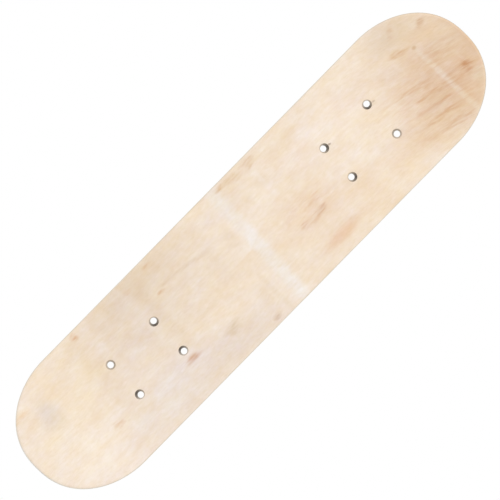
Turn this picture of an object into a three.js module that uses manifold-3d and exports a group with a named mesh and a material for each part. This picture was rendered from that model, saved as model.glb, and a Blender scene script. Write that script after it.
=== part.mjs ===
// Blank deck of a child's skateboard, with a kicked nose and tail.
// Thin sheets of wood are glued together in a curved press, and the blank is then sawn to its outline,
// rounded over along the edge and drilled for the bolts of two trucks. The parts follow the same order.
// Millimetres. +X runs to the nose, +Z is up, and the origin lies on the ground under the middle.
import * as THREE from "three";
import { mergeVertices } from "three/addons/utils/BufferGeometryUtils.js";
import Module from "manifold-3d";

const wasm = await Module();
wasm.setup();

// Outline seen from above. The saw cuts it straight down, so the cut isn't square to the sides and ends that curl up.
const SAWN_LENGTH = 630.1;
const SAWN_WIDTH = 149;
const ROUNDED_END_LENGTH = 82.7; // from a tip back to where the sides run straight
const TIP_POWER = 1.9; // below 2, an end starts to narrow early
const FLANK_POWER = 2.3; // above 2, a tip is blunter than an ellipse
const EDGE_ROUND = 3.2; // radius of the router bit, run round the top and the bottom

// Sheets, in the glued stack
const FACE_THICKNESS = 1.0;
const LONG_CORE_THICKNESS = 1.1;
const CROSSBAND_THICKNESS = 1.1;
const GLUE_LINE = 0.1; // what the glue keeps open between two sheets

// Bends, from the press
const FLAT_STRIP_WIDTH = 60; // level strip along the middle, which the trucks bolt to
const CONCAVE_RADIUS = 168; // of the sides, which curl up beside the level strip
const TIP_CONCAVE_SHARE = 0.6; // how much of the sides' curl is left at a tip
const KICK_RUN_OUT = 16; // from the outer bolts to where a kick starts
const KICK_RADIUS = 160;
const KICK_ANGLE = THREE.MathUtils.degToRad(16);

// Bolt holes, four for each truck
const NOSE_OVERHANG = 129.3; // from the tip of the nose to its outer pair of bolts
const TAIL_OVERHANG = 122.7;
const BOLT_SPACING_ALONG = 63.5;
const BOLT_SPACING_ACROSS = 41.3;
const BOLT_HOLE_DIAMETER = 6.2;
const COUNTERSINK_DIAMETER = 9.6;
const COUNTERSINK_ANGLE = THREE.MathUtils.degToRad(90);
const DRILL_OVERRUN = 2; // how far a drill passes both faces

// Facets
const MIDDLE_STEPS = 2;
const KICK_STEPS = 4;
const END_STEPS = 10;
const CONCAVE_STEPS = 3;
const FACE_EDGE_STEPS = 3;
const CORE_EDGE_STEPS = 1;
const HOLE_SIDES = 16;
const SLOPE_PROBE = 0.01;
const SEARCH_STEPS = 4;

const finish = (color) => new THREE.MeshStandardMaterial({ color, roughness: 0.62, metalness: 0 });

const FACE = { thickness: FACE_THICKNESS, edgeSteps: FACE_EDGE_STEPS, material: finish(0xf0dfc7) };
const LONG_CORE = { thickness: LONG_CORE_THICKNESS, edgeSteps: CORE_EDGE_STEPS, material: finish(0xe7d2b0) };
const CROSSBAND = { thickness: CROSSBAND_THICKNESS, edgeSteps: CORE_EDGE_STEPS, material: finish(0xcfae82) };

// The grain runs along the board in the faces and long cores, and across it in the crossbands between them.
const LAY_UP = [
  ["top_face_veneer", FACE],
  ["upper_outer_crossband", CROSSBAND],
  ["upper_long_core", LONG_CORE],
  ["upper_inner_crossband", CROSSBAND],
  ["centre_long_core", LONG_CORE],
  ["lower_inner_crossband", CROSSBAND],
  ["lower_long_core", LONG_CORE],
  ["lower_outer_crossband", CROSSBAND],
  ["bottom_face_veneer", FACE],
];

const DECK_THICKNESS =
  LAY_UP.reduce((sum, [, sheet]) => sum + sheet.thickness, 0) + (LAY_UP.length - 1) * GLUE_LINE;
const STRAIGHT_HALF_LENGTH = SAWN_LENGTH / 2 - ROUNDED_END_LENGTH;

// Each end, with the way it points along X
const NOSE = { way: 1, outerBolts: SAWN_LENGTH / 2 - NOSE_OVERHANG };
const TAIL = { way: -1, outerBolts: SAWN_LENGTH / 2 - TAIL_OVERHANG };
for (const end of [NOSE, TAIL]) end.kickStart = end.outerBolts + KICK_RUN_OUT;

const endAt = (x) => (x < 0 ? TAIL : NOSE);

// How far a kick has climbed at a distance past its start: an arc, and then a straight ramp
function kickRise(past) {
  if (past <= 0) return 0;
  const arcLength = KICK_RADIUS * Math.sin(KICK_ANGLE);
  const onArc = Math.min(past, arcLength);
  return KICK_RADIUS - Math.sqrt(KICK_RADIUS ** 2 - onArc ** 2) + (past - onArc) * Math.tan(KICK_ANGLE);
}

// How far the sides curl up at a distance from the centre line
function concaveRise(y) {
  const past = Math.max(0, Math.abs(y) - FLAT_STRIP_WIDTH / 2);
  return CONCAVE_RADIUS - Math.sqrt(CONCAVE_RADIUS ** 2 - past ** 2);
}

// Height of the surface halfway through the deck
function middleHeight(x, y) {
  const { kickStart } = endAt(x);
  const past = Math.abs(x) - kickStart;
  const toTip = THREE.MathUtils.smoothstep(past, 0, SAWN_LENGTH / 2 - kickStart);
  const curl = THREE.MathUtils.lerp(1, TIP_CONCAVE_SHARE, toTip);
  return DECK_THICKNESS / 2 + kickRise(past) + curl * concaveRise(y);
}

// Point of the bent deck straight above a place on the ground, at a depth below the top face. The sheets keep their
// thickness in the bends, so the search finds the foot on the middle surface that the depth is square to.
function pointAt(x, y, depth) {
  const fromMiddle = DECK_THICKNESS / 2 - depth;
  const foot = new THREE.Vector2(x, y);
  const slope = (dx, dy) =>
    (middleHeight(foot.x + dx, foot.y + dy) - middleHeight(foot.x - dx, foot.y - dy)) / (2 * SLOPE_PROBE);
  const normal = new THREE.Vector3();
  for (let i = 0; i < SEARCH_STEPS; i++) {
    normal.set(-slope(SLOPE_PROBE, 0), -slope(0, SLOPE_PROBE), 1).normalize();
    foot.set(x - normal.x * fromMiddle, y - normal.y * fromMiddle);
  }
  return new THREE.Vector3(x, y, middleHeight(foot.x, foot.y) + normal.z * fromMiddle);
}

// How far the rounded edge lies inside the outline at a depth below the top face
function edgeInset(depth) {
  const toFace = Math.min(depth, DECK_THICKNESS - depth);
  const intoRound = Math.max(0, EDGE_ROUND - toFace);
  return EDGE_ROUND - Math.sqrt(EDGE_ROUND ** 2 - intoRound ** 2);
}

// Where the rows of facets lie from the middle to one tip, each with the half width of the outline there
function stationsTo(end, inset) {
  const halfWidth = SAWN_WIDTH / 2 - inset;
  const endLength = ROUNDED_END_LENGTH - inset;
  const arcLength = KICK_RADIUS * Math.sin(KICK_ANGLE);
  const stations = [];
  for (let i = 0; i < MIDDLE_STEPS; i++) stations.push([(end.kickStart * i) / MIDDLE_STEPS, halfWidth]);
  for (let i = 0; i < KICK_STEPS; i++) stations.push([end.kickStart + (arcLength * i) / KICK_STEPS, halfWidth]);
  const straight = stations.filter(([x]) => x < STRAIGHT_HALF_LENGTH - EDGE_ROUND);
  for (let i = END_STEPS; i > 0; i--) {
    const turn = ((Math.PI / 2) * i) / END_STEPS;
    const along = i === END_STEPS ? 0 : Math.cos(turn) ** (2 / TIP_POWER);
    straight.push([STRAIGHT_HALF_LENGTH + endLength * along, halfWidth * Math.sin(turn) ** (2 / FLANK_POWER)]);
  }
  straight.push([STRAIGHT_HALF_LENGTH + endLength, 0]);
  return straight.map(([x, half]) => [x * end.way, half]);
}

// Rows of points over the whole outline at one depth. A row's points keep to the level strip and the curled sides.
function surfaceRows(depth, inset) {
  const fullHalf = SAWN_WIDTH / 2 - inset;
  const tailFirst = [...stationsTo(TAIL, inset).reverse(), ...stationsTo(NOSE, inset).slice(1)];
  return tailFirst.map(([x, half]) => {
    const strip = ((FLAT_STRIP_WIDTH / 2) * half) / fullHalf;
    const side = [];
    for (let i = 0; i <= CONCAVE_STEPS; i++) side.push(strip + ((half - strip) * i) / CONCAVE_STEPS);
    const across = [...side.map((y) => -y).reverse(), ...side];
    return across.map((y) => pointAt(x, y, depth));
  });
}

const rimOf = (rows) => [...rows.map((row) => row.at(-1)), ...rows.slice(1, -1).reverse().map((row) => row[0])];

// One sheet, pressed to shape and sawn and rounded at its rim, as a closed geometry
function pressedSheet(topDepth, sheet, isTop, isBottom) {
  const bottomDepth = topDepth + sheet.thickness;
  const topInset = edgeInset(isTop ? 0 : topDepth - GLUE_LINE / 2);
  const bottomInset = edgeInset(isBottom ? DECK_THICKNESS : bottomDepth + GLUE_LINE / 2);
  const corners = [];
  const addTriangle = (a, b, c) => {
    const same = a.equals(b) || b.equals(c) || c.equals(a);
    if (!same) corners.push(...a, ...b, ...c);
  };
  const addQuad = (a, b, c, d) => {
    addTriangle(a, b, c);
    addTriangle(a, c, d);
  };
  const top = surfaceRows(topDepth, topInset);
  const bottom = surfaceRows(bottomDepth, bottomInset);
  for (let i = 0; i < top.length - 1; i++) {
    for (let j = 0; j < top[i].length - 1; j++) {
      addQuad(top[i][j], top[i + 1][j], top[i + 1][j + 1], top[i][j + 1]);
      addQuad(bottom[i][j], bottom[i][j + 1], bottom[i + 1][j + 1], bottom[i + 1][j]);
    }
  }
  const rims = [rimOf(top)];
  for (let i = 1; i < sheet.edgeSteps; i++) {
    const depth = topDepth + (sheet.thickness * i) / sheet.edgeSteps;
    rims.push(rimOf(surfaceRows(depth, edgeInset(depth))));
  }
  rims.push(rimOf(bottom));
  for (let i = 0; i < rims.length - 1; i++) {
    const count = rims[i].length;
    for (let j = 0; j < count; j++) {
      const next = (j + 1) % count;
      addQuad(rims[i][j], rims[i][next], rims[i + 1][next], rims[i + 1][j]);
    }
  }
  return new THREE.BufferGeometry().setAttribute("position", new THREE.Float32BufferAttribute(corners, 3));
}

// Drill with a countersinking shoulder, standing where its cut is
function drillAt(x, y) {
  const bore = BOLT_HOLE_DIAMETER / 2;
  const spread = Math.tan(COUNTERSINK_ANGLE / 2);
  const sinkDepth = (COUNTERSINK_DIAMETER / 2 - bore) / spread;
  const profile = [
    new THREE.Vector2(0, -DRILL_OVERRUN),
    new THREE.Vector2(bore, -DRILL_OVERRUN),
    new THREE.Vector2(bore, DECK_THICKNESS - sinkDepth),
    new THREE.Vector2(COUNTERSINK_DIAMETER / 2 + DRILL_OVERRUN * spread, DECK_THICKNESS + DRILL_OVERRUN),
    new THREE.Vector2(0, DECK_THICKNESS + DRILL_OVERRUN),
  ];
  return new THREE.LatheGeometry(profile, HOLE_SIDES).rotateX(Math.PI / 2).translate(x, y, 0);
}

function solidFrom(geometry) {
  geometry.deleteAttribute("normal");
  geometry.deleteAttribute("uv");
  const merged = mergeVertices(geometry);
  return new wasm.Manifold(
    new wasm.Mesh({
      numProp: 3,
      vertProperties: new Float32Array(merged.attributes.position.array),
      triVerts: new Uint32Array(merged.index.array),
    }),
  );
}

function geometryFrom(solid) {
  const { vertProperties, triVerts } = solid.getMesh();
  return new THREE.BufferGeometry()
    .setAttribute("position", new THREE.BufferAttribute(vertProperties, 3))
    .setIndex(new THREE.BufferAttribute(triVerts, 1));
}

// All eight drills, joined into one cutter
const drills = [];
for (const end of [NOSE, TAIL]) {
  for (const inward of [0, BOLT_SPACING_ALONG]) {
    for (const side of [-1, 1]) {
      const x = end.way * (end.outerBolts - inward);
      drills.push(solidFrom(drillAt(x, (side * BOLT_SPACING_ACROSS) / 2)));
    }
  }
}
const boltHoles = drills.reduce((joined, drill) => joined.add(drill));

const deck = new THREE.Group();
let topDepth = 0;
LAY_UP.forEach(([name, sheet], i) => {
  const pressed = solidFrom(pressedSheet(topDepth, sheet, i === 0, i === LAY_UP.length - 1));
  const mesh = new THREE.Mesh(geometryFrom(pressed.subtract(boltHoles)), sheet.material);
  mesh.name = name;
  deck.add(mesh);
  topDepth += sheet.thickness + GLUE_LINE;
});

export default deck;
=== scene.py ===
import math
from functools import partial

import bmesh
import bpy
import numpy as np
from mathutils.geometry import delaunay_2d_cdt
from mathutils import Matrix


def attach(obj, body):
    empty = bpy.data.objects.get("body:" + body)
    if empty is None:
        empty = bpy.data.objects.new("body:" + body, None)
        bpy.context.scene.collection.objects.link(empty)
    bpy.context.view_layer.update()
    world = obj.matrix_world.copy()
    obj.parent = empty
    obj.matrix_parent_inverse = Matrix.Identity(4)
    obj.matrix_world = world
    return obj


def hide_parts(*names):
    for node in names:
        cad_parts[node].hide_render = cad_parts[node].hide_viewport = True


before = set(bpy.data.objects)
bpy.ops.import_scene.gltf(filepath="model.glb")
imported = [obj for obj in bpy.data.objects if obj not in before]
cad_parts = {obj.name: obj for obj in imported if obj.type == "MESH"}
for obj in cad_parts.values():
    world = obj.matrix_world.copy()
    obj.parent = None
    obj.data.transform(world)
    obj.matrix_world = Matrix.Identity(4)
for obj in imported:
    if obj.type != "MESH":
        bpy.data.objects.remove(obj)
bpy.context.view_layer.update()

# Camera
# It hangs far above the middle of the deck and looks straight down through a very long lens, so the raised
# ends look hardly nearer than the middle. The deck crosses the picture slantwise, nose to the lower left.
CAMERA_HEIGHT = 18.0
PICTURE_WIDTH = 0.5165
PICTURE_TURN = math.radians(134.48)
PICTURE_SHIFT = (0.0, -0.0013)
SENSOR_WIDTH_MM = 36

camera_data = bpy.data.cameras.new("camera")
camera_data.sensor_width = SENSOR_WIDTH_MM
camera_data.lens = SENSOR_WIDTH_MM * CAMERA_HEIGHT / PICTURE_WIDTH
camera_data.clip_end = CAMERA_HEIGHT * 2
camera = bpy.data.objects.new("camera", camera_data)
camera.location = (*PICTURE_SHIFT, CAMERA_HEIGHT)
camera.rotation_euler = (0, 0, PICTURE_TURN)
bpy.context.scene.collection.objects.link(camera)
bpy.context.scene.camera = camera

# Long cores
# Three sheets of rotary-cut maple, 1.1 mm thick, with their grain along the board. They are glued between
# the crossbands in a curved press, and then the whole blank is sawn, rounded over and drilled at once. So
# the press, the saw's outline, the router bit and the drills are set here, for every sheet of the stack.
LONG_CORE_THICKNESS = 0.0011
CROSSBAND_THICKNESS = 0.0011
FACE_THICKNESS = 0.001
GLUE_LINE = 0.0001
GLUE_SEEN = 0.00002
DECK_THICKNESS = 2 * FACE_THICKNESS + 3 * LONG_CORE_THICKNESS + 4 * CROSSBAND_THICKNESS + 8 * GLUE_LINE

# The saw cuts an outline with two rounded ends, whose powers would both be 2 in a true ellipse. The router
# bit rounds both edges, and hand sanding lets their radius wander and takes a little off all round. A row of
# waves is how often they go round the board, their strength, and their start on the upper and lower edge.
SAWN_LENGTH = 0.6301
SAWN_WIDTH = 0.149
ROUNDED_END_LENGTH = 0.0827
TIP_POWER = 1.9
FLANK_POWER = 2.3
EDGE_ROUND = 0.0032
EDGE_WANDER_SHARE = 0.09
EDGE_WAVES = [
    (5, 1.0, 0.0, 2.1),
    (11, 1.0, 1.3, 3.4),
    (23, 0.6, 0.4, -1.7),
]
SANDED_OFF = 0.0001

# The press keeps a level strip down the middle, curls up the sides, and bends up a kick at each end.
FLAT_STRIP_WIDTH = 0.060
CONCAVE_RADIUS = 0.168
TIP_CONCAVE_SHARE = 0.6
KICK_RUN_OUT = 0.016
KICK_RADIUS = 0.160
KICK_ANGLE = math.radians(16)

# Each truck has four bolt holes, with a 90 degree countersink from above whose lip the sanding has eased.
NOSE_OVERHANG = 0.1293
TAIL_OVERHANG = 0.1227
BOLT_SPACING_ALONG = 0.0635
BOLT_SPACING_ACROSS = 0.0413
BORE_RADIUS = 0.0034
COUNTERSINK_RADIUS = 0.0050
COUNTERSINK_DEPTH = COUNTERSINK_RADIUS - BORE_RADIUS
EASED_LIP = 0.0002

# The holes were drilled by hand through a loose jig, so each lies a little off its true place, and its bore
# runs down off the middle of its countersink. From above, each so shows a crescent of its wall, which is
# painted in shade. A row is a hole's true place, how far off it lies, and how far its bore has strayed at
# the underside.
NOSE_OUTER = SAWN_LENGTH / 2 - NOSE_OVERHANG
NOSE_INNER = NOSE_OUTER - BOLT_SPACING_ALONG
TAIL_OUTER = TAIL_OVERHANG - SAWN_LENGTH / 2
TAIL_INNER = TAIL_OUTER + BOLT_SPACING_ALONG
SIDE = BOLT_SPACING_ACROSS / 2
HOLES = [
    (NOSE_OUTER, -SIDE, -0.0003, -0.0002, 0.0001, 0.0000),
    (NOSE_OUTER, SIDE, 0.0002, 0.0014, -0.0004, 0.0009),
    (NOSE_INNER, -SIDE, 0.0000, 0.0002, -0.0003, -0.0008),
    (NOSE_INNER, SIDE, 0.0000, 0.0019, -0.0001, 0.0007),
    (TAIL_INNER, -SIDE, 0.0003, 0.0004, 0.0011, -0.0005),
    (TAIL_INNER, SIDE, 0.0010, 0.0005, 0.0007, -0.0007),
    (TAIL_OUTER, -SIDE, 0.0006, 0.0002, -0.0003, -0.0008),
    (TAIL_OUTER, SIDE, 0.0004, 0.0021, 0.0000, 0.0002),
]

# A bore has strayed most of its way by the foot of its countersink. Its wall is painted in shade all round,
# and darker on the side that shows from above, the further it strays.
STRAY_AT_SINK_SHARE = 0.8
STRAY_FOR_DARKEST_SIDE = 0.0006
EVEN_WALL_SHADE = 0.42
STRAY_SHADE_GAIN = 0.13
STRAY_SHADE_SWING = 0.45

# How finely the meshes follow these shapes
OUTLINE_POINTS = 720
QUARTER_POINTS = 600
HOLE_POINTS = 48
HOLE_TURN = 2 * math.pi * np.arange(HOLE_POINTS) / HOLE_POINTS
EDGE_RING_SPACING = 0.0005
PROFILE_POINTS = 200
SLOPE_PROBE = 0.00001
FOOT_SEARCH_STEPS = 4
RIM_CLEARANCE_SHARE = 0.4
HOLE_CLEARANCE_SHARE = 0.3
SAME_PLACE = 1e-9
SAME_DEPTH = 1e-6
SHARP_ANGLE = math.radians(28)


def kick_start(x):
    """How far from the middle of the board the kick at that end starts."""
    return np.where(x < 0, -TAIL_OUTER, NOSE_OUTER) + KICK_RUN_OUT


def kick_rise(past):
    """How far a kick has climbed at a distance past its start: an arc, and then a straight ramp."""
    on_arc = np.clip(past, 0, KICK_RADIUS * math.sin(KICK_ANGLE))
    on_ramp = np.maximum(past - on_arc, 0)
    return KICK_RADIUS - np.sqrt(KICK_RADIUS**2 - on_arc**2) + on_ramp * math.tan(KICK_ANGLE)


def middle_height(x, y):
    """Height of the pressed blank halfway through its thickness."""
    past_strip = np.maximum(np.abs(y) - FLAT_STRIP_WIDTH / 2, 0)
    curl_up = CONCAVE_RADIUS - np.sqrt(CONCAVE_RADIUS**2 - past_strip**2)
    start = kick_start(x)
    past = np.abs(x) - start
    to_tip = np.clip(past / (SAWN_LENGTH / 2 - start), 0, 1)
    curl_share = 1 + (TIP_CONCAVE_SHARE - 1) * to_tip**2 * (3 - 2 * to_tip)
    return DECK_THICKNESS / 2 + kick_rise(past) + curl_share * curl_up


def in_flat_sheet(x, y, depth):
    """Where feet on the middle surface lay before the press bent it."""
    past = np.maximum(np.abs(x) - kick_start(x), 0)
    on_arc = np.minimum(past, KICK_RADIUS * math.sin(KICK_ANGLE))
    kick_length = KICK_RADIUS * np.arcsin(on_arc / KICK_RADIUS) + (past - on_arc) / math.cos(KICK_ANGLE)
    past_strip = np.maximum(np.abs(y) - FLAT_STRIP_WIDTH / 2, 0)
    curl_length = CONCAVE_RADIUS * np.arcsin(past_strip / CONCAVE_RADIUS)
    u = x + np.sign(x) * (kick_length - past)
    v = y + np.sign(y) * (curl_length - past_strip)
    return np.stack([u, v, np.full_like(x, -depth)], 1)


def pressed(points, depth):
    """Points of the pressed blank straight above places on the ground, at a depth below its top face.

    The sheets keep their thickness in the bends, so this finds the feet on the middle surface that the depth
    is square to. It also gives where each point lay in the flat sheet, which the grain follows.
    """
    from_middle = DECK_THICKNESS / 2 - depth
    feet = points
    for _ in range(FOOT_SEARCH_STEPS):
        x, y = feet[:, 0], feet[:, 1]
        rise_x = middle_height(x + SLOPE_PROBE, y) - middle_height(x - SLOPE_PROBE, y)
        rise_y = middle_height(x, y + SLOPE_PROBE) - middle_height(x, y - SLOPE_PROBE)
        normal = np.stack([-rise_x, -rise_y, np.full_like(x, 2 * SLOPE_PROBE)], 1)
        normal /= np.linalg.norm(normal, axis=1, keepdims=True)
        feet = points - normal[:, :2] * from_middle
    height = middle_height(feet[:, 0], feet[:, 1]) + normal[:, 2] * from_middle
    return np.column_stack([points, height]), in_flat_sheet(feet[:, 0], feet[:, 1], depth)


def sawn_outline():
    """Even points round the sawn outline, with the way out of the board and the share of the way round."""
    turn = np.linspace(0, math.pi / 2, QUARTER_POINTS)
    along = ROUNDED_END_LENGTH * np.cos(turn) ** (2 / TIP_POWER)
    along[-1] = 0
    half_width = SAWN_WIDTH / 2 * np.sin(turn) ** (2 / FLANK_POWER)
    quarter = np.stack([SAWN_LENGTH / 2 - ROUNDED_END_LENGTH + along, half_width], 1)
    left_side = np.concatenate([quarter, quarter[::-1] * (-1, 1)])
    loop = np.concatenate([left_side, -left_side[1:]])
    step = np.linalg.norm(np.diff(loop, axis=0), axis=1)
    way = np.concatenate([[0], np.cumsum(step)])
    share = np.arange(OUTLINE_POINTS) / OUTLINE_POINTS
    even = np.stack([np.interp(share * way[-1], way, loop[:, i]) for i in (0, 1)], 1)
    tangent = np.roll(even, -1, axis=0) - np.roll(even, 1, axis=0)
    outward = np.stack([tangent[:, 1], -tangent[:, 0]], 1)
    outward /= np.linalg.norm(outward, axis=1, keepdims=True)
    return even - outward * SANDED_OFF, outward, share


OUTLINE, OUTWARD, ROUND_SHARE = sawn_outline()


def from_face(depth):
    """How far a depth lies from the nearer face of the board."""
    return max(0, min(depth, DECK_THICKNESS - depth))


def edge_at(depth):
    """The board's edge at a depth, as the router bit and the sanding have left it."""
    upper = depth < DECK_THICKNESS / 2
    wander = np.zeros(OUTLINE_POINTS)
    for count, strength, upper_start, lower_start in EDGE_WAVES:
        start = upper_start if upper else lower_start
        wander += strength * np.sin(count * 2 * math.pi * ROUND_SHARE + start)
    most = sum(wave[1] for wave in EDGE_WAVES)
    radius = EDGE_ROUND * (1 + EDGE_WANDER_SHARE * wander / most)
    into_round = np.clip(radius - from_face(depth), 0, None)
    inset = radius - np.sqrt(radius**2 - into_round**2)
    return OUTLINE - OUTWARD * inset[:, None]


def along_edge_profile(depth):
    """Distance down the rounded edge from the top face to a depth, by which its rings are spaced."""
    to_face = from_face(depth)
    down = EDGE_ROUND * math.acos(max(0, 1 - to_face / EDGE_ROUND)) + max(0, to_face - EDGE_ROUND)
    whole = EDGE_ROUND * math.pi + DECK_THICKNESS - 2 * EDGE_ROUND
    return down if depth <= DECK_THICKNESS / 2 else whole - down


def hole_at(hole, depth):
    """The ring of a hole at a depth: its eased lip, its countersink, and then the straying bore."""
    x, y, off_x, off_y, stray_x, stray_y = hole
    if depth < COUNTERSINK_DEPTH:
        radius = COUNTERSINK_RADIUS - depth + max(0, EASED_LIP - depth)
        share = STRAY_AT_SINK_SHARE * depth / COUNTERSINK_DEPTH
    else:
        radius = BORE_RADIUS
        past_sink = (depth - COUNTERSINK_DEPTH) / (DECK_THICKNESS - COUNTERSINK_DEPTH)
        share = STRAY_AT_SINK_SHARE + (1 - STRAY_AT_SINK_SHARE) * past_sink
    ring = radius * np.stack([np.cos(HOLE_TURN), np.sin(HOLE_TURN)], 1)
    return ring + (x + off_x + stray_x * share, y + off_y + stray_y * share)


def wall_shade_round_hole(hole):
    """Painted shade on a hole's wall: even all round, and darker on the side that it has strayed from, whose
    wall shows from above.
    """
    stray_x, stray_y = hole[4:]
    hard = min(1, math.hypot(stray_x, stray_y) / STRAY_FOR_DARKEST_SIDE)
    away = -np.cos(HOLE_TURN - math.atan2(stray_y, stray_x))
    return EVEN_WALL_SHADE + hard * (STRAY_SHADE_GAIN + STRAY_SHADE_SWING * away)


def grid_between(rim, centres, radii, cell):
    """Points of a square grid on the board that keep clear of its rim and of its holes."""
    rows = [np.arange(cell / 2, half, cell) for half in (SAWN_LENGTH / 2, SAWN_WIDTH / 2)]
    steps_x, steps_y = [np.concatenate([-row[::-1], row]) for row in rows]
    grid = np.stack(np.meshgrid(steps_x, steps_y), -1).reshape(-1, 2)
    left_side = rim[rim[:, 1] >= 0][::-1]
    half_width = np.interp(np.abs(grid[:, 0]), left_side[:, 0], left_side[:, 1], right=0)
    to_rim = np.linalg.norm(grid[:, None] - rim, axis=2).min(1)
    to_hole = (np.linalg.norm(grid[:, None] - centres, axis=2) - radii).min(1)
    clear = (to_rim > cell * RIM_CLEARANCE_SHARE) & (to_hole > cell * HOLE_CLEARANCE_SHARE)
    return grid[clear & (np.abs(grid[:, 1]) < half_width)]


def cut_surface(depth, cell):
    """Flat points and triangles of one face of a sheet: its rim, its holes and a grid between them."""
    rim = edge_at(depth)
    rings = [hole_at(hole, depth) for hole in HOLES]
    centres = np.array([ring.mean(0) for ring in rings])
    radii = np.array([np.linalg.norm(ring[0] - ring.mean(0)) for ring in rings])
    points = np.concatenate([rim, *rings, grid_between(rim, centres, radii, cell)])
    edges = []
    start = 0
    for loop in [rim, *rings]:
        edges += [(start + i, start + (i + 1) % len(loop)) for i in range(len(loop))]
        start += len(loop)
    found = delaunay_2d_cdt(points.tolist(), edges, [], 0, SAME_PLACE, True)
    source = np.array([origin[0] for origin in found[3]])
    triangles = np.sort(source[np.array(found[2])], axis=1)

    # A triangle that bridges a dip of the rim, outside the board, takes its corners the wrong way round.
    corners = points[triangles]
    first = corners[:, 1] - corners[:, 0]
    second = corners[:, 2] - corners[:, 0]
    bridges = (triangles[:, 2] < len(rim)) & (first[:, 0] * second[:, 1] <= first[:, 1] * second[:, 0])
    solid = (np.linalg.norm(corners.mean(1)[:, None] - centres, axis=2) > radii).all(1)
    return points, triangles[solid & ~bridges].tolist()


def ring_depths(top_depth, bottom_depth):
    """Depths of the rings between a sheet's faces, first on its rim and then on the walls of its holes."""
    ends = [along_edge_profile(top_depth), along_edge_profile(bottom_depth)]
    table = np.linspace(top_depth, bottom_depth, PROFILE_POINTS)
    ways = [along_edge_profile(depth) for depth in table]
    steps = max(2, round((ends[1] - ends[0]) / EDGE_RING_SPACING))
    on_rim = np.interp(np.linspace(*ends, steps + 1), ways, table)[1:-1]
    bends = [EASED_LIP / 3, EASED_LIP, COUNTERSINK_DEPTH]
    return on_rim, [depth for depth in bends if top_depth + SAME_DEPTH < depth < bottom_depth - SAME_DEPTH]


def closed_sheet(top_depth, bottom_depth, cell):
    """A pressed sheet's points, their places in the flat sheet, its faces, and the painted wall shade at
    their corners.
    """
    top, top_faces = cut_surface(top_depth, cell)
    bottom, bottom_faces = cut_surface(bottom_depth, cell)
    laid = [pressed(top, top_depth), pressed(bottom, bottom_depth)]
    faces = top_faces + [[len(top) + i for i in reversed(face)] for face in bottom_faces]
    wall_shade_at_corners = [0.0] * 3 * len(faces)
    count = len(top) + len(bottom)

    rim_depths, hole_depths = ring_depths(top_depth, bottom_depth)
    walls = [(0, OUTLINE_POINTS, rim_depths, edge_at, np.zeros(OUTLINE_POINTS))]
    for i, hole in enumerate(HOLES):
        start = OUTLINE_POINTS + i * HOLE_POINTS
        walls.append((start, HOLE_POINTS, hole_depths, partial(hole_at, hole), wall_shade_round_hole(hole)))
    for start, size, depths, ring_at, wall_shade in walls:
        rings = [range(start, start + size)]
        for depth in depths:
            laid.append(pressed(ring_at(depth), depth))
            rings.append(range(count, count + size))
            count += size
        rings.append(range(len(top) + start, len(top) + start + size))
        for upper, lower in zip(rings, rings[1:]):
            for j in range(size):
                k = (j + 1) % size
                faces.append([upper[j], lower[j], lower[k], upper[k]])
                wall_shade_at_corners += [wall_shade[j], wall_shade[j], wall_shade[k], wall_shade[k]]
    points, flat_points = [np.concatenate(part) for part in zip(*laid)]
    return points, flat_points, faces, wall_shade_at_corners


def sheet_mesh(name, top_depth, thickness, cell):
    """A pressed sheet as a mesh, marked with its place in the flat sheet and with the painted shade of its
    hole walls.

    The glue that has soaked into a sheet swells it, so only a hair of the glue line shows at the edge.
    """
    soaked = (GLUE_LINE - GLUE_SEEN) / 2
    above = max(top_depth - soaked, 0)
    below = min(top_depth + thickness + soaked, DECK_THICKNESS)
    points, flat_points, faces, wall_shade_at_corners = closed_sheet(above, below, cell)
    mesh = bpy.data.meshes.new(name)
    mesh.from_pydata(points.tolist(), [], faces)
    flat = mesh.attributes.new("flat_sheet", "FLOAT_VECTOR", "POINT")
    flat.data.foreach_set("vector", flat_points.astype(np.float32).ravel())
    painted_wall_shade = mesh.attributes.new("painted_wall_shade", "FLOAT", "CORNER")
    painted_wall_shade.data.foreach_set("value", wall_shade_at_corners)
    shaped = bmesh.new()
    shaped.from_mesh(mesh)
    bmesh.ops.recalc_face_normals(shaped, faces=shaped.faces)
    shaped.to_mesh(mesh)
    shaped.free()
    mesh.shade_smooth()
    mesh.set_sharp_from_angle(angle=SHARP_ANGLE)
    return mesh


def glue_in_place(node, top_depth, thickness, cell, material):
    """Puts a dressed sheet where its plain one lies in the stack."""
    sheet = bpy.data.objects.new("dressed_" + node, sheet_mesh(node, top_depth, thickness, cell))
    sheet.data.materials.append(material)
    bpy.context.scene.collection.objects.link(sheet)
    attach(sheet, "root")
    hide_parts(node)


def add(tree, kind, sockets, **settings):
    """Adds a node with its settings, and sets or links each of its sockets."""
    node = tree.nodes.new(kind)
    for name, value in settings.items():
        setattr(node, name, value)
    for name, value in sockets.items():
        if isinstance(value, bpy.types.NodeSocket):
            tree.links.new(value, node.inputs[name])
        else:
            node.inputs[name].default_value = value
    return node.outputs


def linear(hex_colour):
    """An sRGB hex colour as linear red, green, blue and alpha."""
    shares = [int(hex_colour[i : i + 2], 16) / 255 for i in (1, 3, 5)]
    return (*[s / 12.92 if s <= 0.04045 else ((s + 0.055) / 1.055) ** 2.4 for s in shares], 1)


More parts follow.
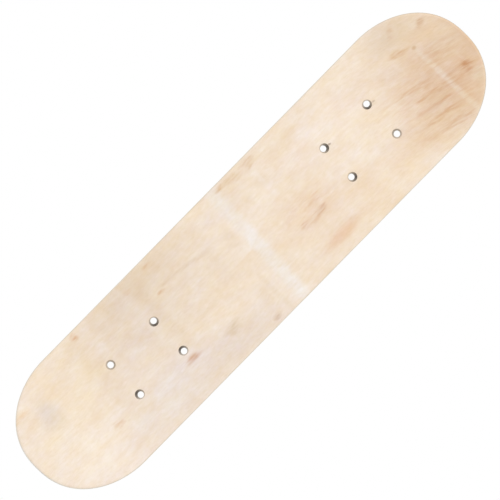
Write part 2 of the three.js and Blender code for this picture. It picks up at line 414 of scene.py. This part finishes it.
# Marks of rotary-cut maple: their length and width in millimetres, how finely they are broken up, how far
# they swing the wood's red, green and blue, and their share of the relief.
FIGURE = [
    (110, 48, 1, (0.02, 0.08, 0.28), 0.0),
    (80, 36, 1, (0.10, 0.16, 0.18), 0.0),
    (24, 14, 2, (0.00, 0.09, 0.32), 0.0),
    (18, 10, 2, (0.08, 0.17, 0.22), 0.0),
    (7, 4.5, 1, (0.06, 0.08, 0.24), 0.0),
    (14, 120, 1, (0.03, 0.05, 0.07), 0.0),
    (30, 3.2, 2, (0.07, 0.10, 0.15), 0.1),
    (13, 1.2, 2, (0.09, 0.11, 0.15), 0.3),
    (5, 0.4, 1, (0.16, 0.20, 0.25), 0.6),
]
RELIEF_HEIGHT = 0.00005
CUT_ENDS = "#DCD6CD"
# Painted shade for the walls of the holes, which show from above
SHADED_HOLE_WALL = "#5F564D"

# Past this place along the board the fibres bend aside, ever faster.
RUN_OUT_START = -0.16
RUN_OUT_POWER = 1.5

# A ragged mark is torn aside by up to so many metres in patches, and broken up by strands. Both are so many
# millimetres long and wide.
TORN_BY = (0.010, 0.0035, 0)
TORN_PATCH = (20, 9)
STRAND = (17, 3.0)


def grain_scale(along, across, fibre):
    """Scale of a pattern whose marks are so many millimetres long and wide, on fibres along x or y."""
    long_scale, wide_scale = 1000 / along, 1000 / across
    return (long_scale, wide_scale, wide_scale) if fibre == "x" else (wide_scale, long_scale, wide_scale)


def along_grain(tree, flat, cut_from, run_out):
    """Places in the flat sheet that follow its bent fibres, moved to where in the log it was cut from."""
    place = add(tree, "ShaderNodeSeparateXYZ", {0: flat})
    past = add(tree, "ShaderNodeMath", {0: RUN_OUT_START, 1: place["X"]}, operation="SUBTRACT",
               use_clamp=True)[0]
    bent = add(tree, "ShaderNodeMath", {0: past, 1: RUN_OUT_POWER}, operation="POWER")[0]
    aside = add(tree, "ShaderNodeMath", {0: bent, 1: -run_out, 2: place["Y"]}, operation="MULTIPLY_ADD")[0]
    fibres = add(tree, "ShaderNodeCombineXYZ", {0: place["X"], 1: aside, 2: place["Z"]})[0]
    return add(tree, "ShaderNodeVectorMath", {0: fibres, 1: (*cut_from, 0)}, operation="ADD")[0]


def lay_patch(tree, colour, where, patch, breaks=None):
    """Lays a patch over a colour. It thins out from a quarter of its reach to a quarter past it."""
    x, y, length, width, turn, tint, strength = patch
    near = add(tree, "ShaderNodeMapping", {"Vector": where, "Location": (x / 1000, y / 1000, 0),
                                           "Rotation": (0, 0, math.radians(turn)),
                                           "Scale": (length / 2000, width / 2000, 1)},
               vector_type="TEXTURE")[0]
    reach = add(tree, "ShaderNodeVectorMath", {0: near}, operation="LENGTH")["Value"]
    amount = add(tree, "ShaderNodeMapRange", {"Value": reach, "From Min": 0.25, "From Max": 1.25,
                                              "To Min": strength, "To Max": 0},
                 interpolation_type="SMOOTHSTEP")[0]
    if breaks:
        amount = add(tree, "ShaderNodeMath", {0: amount, 1: breaks}, operation="MULTIPLY")[0]
    return add(tree, "ShaderNodeMix", {0: amount, 6: colour, 7: linear(tint)}, data_type="RGBA")[2]


def lay_marks(tree, colour, flat, grain, fibre, marks):
    """Lays ragged marks over a colour, which the strands of the wood break up."""
    scaled = add(tree, "ShaderNodeVectorMath", {0: grain, 1: grain_scale(*TORN_PATCH, fibre)},
                 operation="MULTIPLY")[0]
    ragged = add(tree, "ShaderNodeTexNoise", {"Vector": scaled, "Scale": 1, "Detail": 3})[1]
    shove = add(tree, "ShaderNodeVectorMath", {0: ragged, 1: [2 * way for way in TORN_BY],
                                               2: [-way for way in TORN_BY]}, operation="MULTIPLY_ADD")[0]
    torn = add(tree, "ShaderNodeVectorMath", {0: flat, 1: shove}, operation="ADD")[0]
    scaled = add(tree, "ShaderNodeVectorMath", {0: grain, 1: grain_scale(*STRAND, fibre)},
                 operation="MULTIPLY")[0]
    noise = add(tree, "ShaderNodeTexNoise", {"Vector": scaled, "Scale": 1, "Detail": 2,
                                             "Roughness": 0.55})[0]
    strands = add(tree, "ShaderNodeMapRange", {"Value": noise, "From Min": 0.40, "From Max": 0.66,
                                               "To Min": 0.35, "To Max": 1.25})[0]
    for mark in marks:
        colour = lay_patch(tree, colour, torn, mark, strands)
    return colour


def draw_figure(tree, colour, grain, fibre):
    """Draws the figure of the wood through a colour, and gives its relief as well."""
    relief = add(tree, "ShaderNodeValue", {})[0]
    for along, across, detail, swing, relief_share in FIGURE:
        scaled = add(tree, "ShaderNodeVectorMath", {0: grain, 1: grain_scale(along, across, fibre)},
                     operation="MULTIPLY")[0]
        noise = add(tree, "ShaderNodeTexNoise", {"Vector": scaled, "Scale": 1, "Detail": detail})[0]
        share = add(tree, "ShaderNodeVectorMath", {0: noise, 1: swing, 2: [1 - part / 2 for part in swing]},
                    operation="MULTIPLY_ADD")[0]
        colour = add(tree, "ShaderNodeVectorMath", {0: colour, 1: share}, operation="MULTIPLY")[0]
        relief = add(tree, "ShaderNodeMath", {0: noise, 1: relief_share, 2: relief},
                     operation="MULTIPLY_ADD")[0]
    return colour, relief


def darken_cuts(tree, colour, fibre):
    """Darkens a colour on the ends of fibres that are cut across, and paints shade on the walls of the holes.
    """
    normal = add(tree, "ShaderNodeTexCoord", {})["Normal"]
    facing = add(tree, "ShaderNodeSeparateXYZ", {0: normal})["X" if fibre == "x" else "Y"]
    end_on = add(tree, "ShaderNodeMath", {0: facing}, operation="ABSOLUTE")[0]
    cut = add(tree, "ShaderNodeMapRange", {"Value": end_on, "From Min": 0.55, "From Max": 0.98})[0]
    colour = add(tree, "ShaderNodeMix", {0: cut, 6: colour, 7: linear(CUT_ENDS)}, data_type="RGBA",
                 blend_type="MULTIPLY")[2]
    # Painted shade on the walls of the holes
    wall_shade = add(tree, "ShaderNodeAttribute", {}, attribute_name="painted_wall_shade")["Fac"]
    return add(tree, "ShaderNodeMix", {0: wall_shade, 6: colour, 7: linear(SHADED_HOLE_WALL)}, data_type="RGBA")[2]


def bare_maple(name, fibre, cut_from, pale, run_out=0.0, tones=(), marks=()):
    """Maple veneer with its fibres along x or y of the flat sheet, sanded and left bare: matt and dry to see.

    Each kind of sheet is cut from its own place in the log. Run out is how strongly its fibres bend aside
    towards the tail, as in a log that didn't grow straight. Tones are soft and even, and marks are ragged and
    follow the fibres. Each is its place, length and width in millimetres, its turn in degrees, its colour and
    its strength.
    """
    material = bpy.data.materials.new(name)
    material.use_nodes = True
    tree = material.node_tree
    tree.nodes.clear()
    flat = add(tree, "ShaderNodeAttribute", {}, attribute_name="flat_sheet")["Vector"]
    grain = along_grain(tree, flat, cut_from, run_out)
    colour = add(tree, "ShaderNodeRGB", {})[0]
    colour.default_value = linear(pale)
    for tone in tones:
        colour = lay_patch(tree, colour, flat, tone)
    if marks:
        colour = lay_marks(tree, colour, flat, grain, fibre, marks)
    colour, relief = draw_figure(tree, colour, grain, fibre)
    colour = darken_cuts(tree, colour, fibre)
    bump = add(tree, "ShaderNodeBump", {"Height": relief, "Strength": 0.35, "Distance": RELIEF_HEIGHT})[0]
    shader = add(tree, "ShaderNodeBsdfPrincipled", {"Base Color": colour, "Roughness": 0.62, "IOR": 1.45,
                                                    "Normal": bump})[0]
    add(tree, "ShaderNodeOutputMaterial", {"Surface": shader})
    return material


# Sawn and sanded maple shows only as thin matt lines round the board. Towards the tail they are tinted tan
# through all sheets, and at the nose a grey patch is painted shade, for the rim that turns away from the
# lamp.
TAIL_TONE_AND_NOSE_SHADE = [
    (-325, 0, 190, 200, 0, "#D2BA9D", 0.82),
    # Painted shade: the nose's rim turns away from the lamp
    (325, 0, 120, 170, 0, "#DEDAD2", 0.60),
]
core_maple = bare_maple("long_core_maple_sawn_and_sanded", "x", (3.0, 5.1), "#F3E5D0", tones=TAIL_TONE_AND_NOSE_SHADE)
INNER_CELL = 0.008
INNER_PITCH = LONG_CORE_THICKNESS + CROSSBAND_THICKNESS + 2 * GLUE_LINE
FIRST_BAND = FACE_THICKNESS + GLUE_LINE
FIRST_CORE = FIRST_BAND + CROSSBAND_THICKNESS + GLUE_LINE
LONG_CORES = ["upper_long_core", "centre_long_core", "lower_long_core"]
for i, node in enumerate(LONG_CORES):
    glue_in_place(node, FIRST_CORE + i * INNER_PITCH, LONG_CORE_THICKNESS, INNER_CELL, core_maple)

# Crossbands
# Four sheets of the same maple, laid with their grain across the board, so the blank can't cup or split. At
# the sides of the board the saw cuts their fibres square, and those ends look darker than the cores.
band_maple = bare_maple("crossband_maple_sawn_and_sanded", "y", (5.0, 8.5), "#F5EADA", tones=TAIL_TONE_AND_NOSE_SHADE)
CROSSBANDS = ["upper_outer_crossband", "upper_inner_crossband", "lower_inner_crossband",
              "lower_outer_crossband"]
for i, node in enumerate(CROSSBANDS):
    glue_in_place(node, FIRST_BAND + i * INNER_PITCH, CROSSBAND_THICKNESS, INNER_CELL, band_maple)

# Bottom face veneer
# The outer sheet under the board, 1 mm thick, picked clean and pale, with its grain along the board. The
# router bit has rounded its rim, and the drills come out through it. Fine sanding leaves it smooth and matt.
FACE_CELL = 0.005
under_maple = bare_maple("bottom_face_maple_fine_sanded", "x", (7.0, 11.9), "#F6E7D2")
glue_in_place("bottom_face_veneer", DECK_THICKNESS - FACE_THICKNESS, FACE_THICKNESS, FACE_CELL, under_maple)

# Top face veneer
# The outer sheet that a rider stands on, 1 mm thick, rotary-cut, sanded fine and left bare. It is creamy at
# the nose, cooler between the trucks' bolts and tan at the tail, with pale bands from the sheet beneath.
# Places are millimetres from the middle of the board, along it towards the nose and then across it.
TONES = [
    # Broad ones, from nose to tail
    (262, -30, 150, 90, 0, "#F3DFC3", 0.45),
    (262, 38, 130, 90, 0, "#F9EADA", 0.60),
    (200, 40, 110, 60, 0, "#F8ECE1", 0.35),
    (135, 50, 170, 70, 0, "#EEDFD4", 0.75),
    (125, -35, 150, 120, 0, "#EAD6C0", 0.80),
    (110, -64, 150, 46, 0, "#E2CCB0", 0.40),
    (55, 62, 110, 50, 0, "#E8D7C8", 0.45),
    (50, -35, 90, 100, 0, "#EFDCC6", 0.60),
    (-70, 15, 110, 60, 0, "#EFD3B4", 0.36),
    (-140, -35, 130, 50, 0, "#F6E3D4", 0.70),
    (-150, -10, 120, 60, 0, "#FAEAD8", 0.50),
    (-160, 50, 190, 55, 0, "#F4DDC2", 0.60),
    (-222, 46, 88, 58, 0, "#E8C79C", 0.42),
    (-225, 10, 110, 150, 0, "#EFD9C0", 0.45),
    (-285, 10, 130, 170, 0, "#E9CAA9", 0.70),
    (-290, 30, 90, 80, 0, "#E2BB95", 0.30),
    (-327, 0, 40, 170, 0, "#D6AD86", 0.50),
    # Smaller ones, from nose to tail
    (269, -28, 32, 42, 0, "#E2D5CB", 0.50),
    (268, 2, 50, 30, 0, "#F8EBDB", 0.45),
    (209, -56, 60, 26, 0, "#EBD3B2", 0.25),
    (150, 40, 70, 60, 0, "#F3EAE6", 0.28),
    (120, 34.5, 16, 8, 0, "#CB8E58", 0.36),
    (30, -14, 46, 40, 0, "#E9CFAC", 0.28),
    (23, 42, 18, 34, 0, "#E3C9A8", 0.34),
    (5, -22, 18, 34, 0, "#E4C9A6", 0.34),
    (3, 40, 34, 56, 0, "#F5E8DD", 0.22),
    (-12, -56, 70, 30, 0, "#F3E4D7", 0.55),
    (-37, -40, 14, 12, 0, "#EBD2AC", 0.40),
    (-61, -44, 18, 14, 0, "#EBD2AC", 0.45),
    (-74, 56, 60, 26, 0, "#EBC8A4", 0.28),
    (-80, 56, 52, 15, 0, "#EDC5A4", 0.50),
    (-82, 27, 50, 26, 0, "#DDB48C", 0.17),
    (-104, -56, 60, 26, 0, "#EAD0AE", 0.25),
    (-124, 28, 56, 32, 0, "#EBCCA6", 0.32),
    (-135, -38, 66, 50, 0, "#FAECDD", 0.60),
    (-252, 26, 34, 22, -12, "#E0BC84", 0.30),
    (-262, -60, 80, 44, 0, "#DDC4A6", 0.35),
    (-270, -26.8, 6, 5, 0, "#C69455", 0.62),
    (-278, -48, 34, 26, 0, "#F4E6D2", 0.25),
    (-296, -7, 42, 36, 0, "#F3E3CC", 0.38),
    (-300, 41, 22, 22, 0, "#F0E2C4", 0.42),
]
BANDS_FROM_BENEATH = [
    (200, -20, 26, 150, 0, "#EACFA8", 0.22),
    (180, -20, 14, 130, 0, "#F4E6D8", 0.30),
    (128, -30, 12, 120, 0, "#F0E0CF", 0.40),
    (112, -30, 16, 120, 0, "#E0CAB1", 0.22),
    (30, 50, 26, 130, 0, "#F6E6D8", 0.25),
    (12, 52, 8, 70, 0, "#E3CDB2", 0.22),
    (-10.5, 0, 19, 400, -3, "#F6ECE2", 0.87),
    (-40, -45, 12, 60, 0, "#F8EADC", 0.40),
    (-60, -45, 8, 60, 0, "#F8EADC", 0.35),
    (-271.3, 3, 8.5, 72, 2, "#F5E6D0", 0.54),
    (-271.8, 45, 8.5, 80, 2, "#F5E6D0", 0.54),
    (-298, 3, 4, 60, 3, "#EFD8BC", 0.50),
]
MARKS = [
    (297, -50, 40, 10, 0, "#EFC99E", 0.60),
    (223, 29, 14, 9, 0, "#DDAE82", 0.38),
    (190, -69, 14, 11, 0, "#DBA672", 0.64),
    (120, -62.5, 16, 10, 0, "#E0BA94", 0.45),
    (119, 35, 22, 9, 0, "#CB8E58", 0.40),
    (94, -36.5, 15, 6, 0, "#D4A67A", 0.80),
    (88, -67.5, 16, 5, 0, "#DDB48A", 0.50),
    (69, 44, 26, 16, 0, "#D5BA92", 0.52),
    (60, -37.5, 80, 6, -9, "#D6B791", 0.36),
    (27, 69, 10, 8, 0, "#BF9A72", 0.42),
    (-23, -70, 12, 6, 0, "#D3A674", 0.50),
    (-39, -68, 24, 12, 0, "#DAB587", 0.56),
    (-58, 21, 14, 8, 0, "#D2A070", 0.36),
    (-62, -67, 18, 15, 0, "#D9B386", 0.48),
    (-70, 24, 40, 9, 0, "#D2A070", 0.22),
    (-75, 12, 90, 40, 0, "#E2B68C", 0.22),
    (-82, 21.5, 16, 9, 0, "#C48E60", 0.44),
    (-84, 9, 20, 10, 0, "#D9A87C", 0.42),
    (-135.9, -19.5, 5, 3, 0, "#8F7256", 1.00),
    (-196.3, -18, 6, 3.5, 0, "#8F7256", 1.00),
    (-232, 56, 70, 8, -10, "#D3A276", 0.34),
    (-236, 4, 70, 9, -14, "#D3A074", 0.34),
    (-240, 43, 80, 7, -10, "#D09C68", 0.39),
    (-250, 32, 70, 7, -12, "#CF9868", 0.34),
    (-254, 20, 80, 9, -14, "#CF9868", 0.38),
    (-254, -34, 26, 10, -12, "#D3A270", 0.50),
    (-257, 61, 34, 12, -10, "#D3A276", 0.34),
    (-258, 24, 160, 120, -12, "#D9A67C", 0.24),
    (-264, -56, 20, 10, 45, "#D8B08A", 0.40),
    (-280, 19, 30, 7, -12, "#C08A58", 0.24),
    (-285, -8, 60, 30, -12, "#D5A67C", 0.30),
    (-293, -41, 18, 10, 15, "#C79462", 0.55),
    (-295, 25, 20, 16, -5, "#C07C44", 0.52),
]
top_maple = bare_maple("top_face_maple_fine_sanded", "x", (0, 0), "#F6E4CF", run_out=0.45,
                       tones=TONES + BANDS_FROM_BENEATH, marks=MARKS)
glue_in_place("top_face_veneer", 0, FACE_THICKNESS, FACE_CELL, top_maple)

# Floor
# A plain white light table, so the deck lies on it without a shadow. It only shines upwards, and from below
# it can be looked through.
FLOOR_HALF = 15.0
FLOOR_GAP = 0.0002
corners = [(sx * FLOOR_HALF, sy * FLOOR_HALF, -FLOOR_GAP) for sx, sy in ((-1, -1), (1, -1), (1, 1), (-1, 1))]
floor_mesh = bpy.data.meshes.new("floor")
floor_mesh.from_pydata(corners, [], [(0, 1, 2, 3)])
floor = bpy.data.objects.new("floor", floor_mesh)
bpy.context.scene.collection.objects.link(floor)
white = bpy.data.materials.new("white_light_table")
white.use_nodes = True
tree = white.node_tree
tree.nodes.clear()
lit = add(tree, "ShaderNodeEmission", {"Color": (1, 1, 1, 1), "Strength": 1.0})[0]
clear = add(tree, "ShaderNodeBsdfTransparent", {})[0]
from_below = add(tree, "ShaderNodeNewGeometry", {})["Backfacing"]
mixed = add(tree, "ShaderNodeMixShader", {0: from_below, 1: lit, 2: clear})[0]
add(tree, "ShaderNodeOutputMaterial", {"Surface": mixed})
white.cycles.emission_sampling = "NONE"
floor_mesh.materials.append(white)

# Lights
# A white room lights the deck from all round, and a soft lamp high above its tail end lights the nose a
# little more. White stays plain white in the picture.
ROOM_STRENGTH = 0.806
world = bpy.data.worlds.new("white_room")
bpy.context.scene.world = world
world.use_nodes = True
background = world.node_tree.nodes["Background"]
background.inputs["Color"].default_value = (1, 1, 1, 1)
background.inputs["Strength"].default_value = ROOM_STRENGTH
LAMP_DISTANCE = 4.0
LAMP_SIZE = 1.8
LAMP_ELEVATION = math.radians(50)
LAMP_POWER = 38
lamp_data = bpy.data.lights.new("lamp", "AREA")
lamp_data.size = LAMP_SIZE
lamp_data.energy = LAMP_POWER
lamp = bpy.data.objects.new("lamp", lamp_data)
lamp.location = (-LAMP_DISTANCE * math.cos(LAMP_ELEVATION), 0, LAMP_DISTANCE * math.sin(LAMP_ELEVATION))
lamp.rotation_euler = (0, LAMP_ELEVATION - math.pi / 2, 0)
bpy.context.scene.collection.objects.link(lamp)
bpy.context.scene.view_settings.view_transform = "Standard"
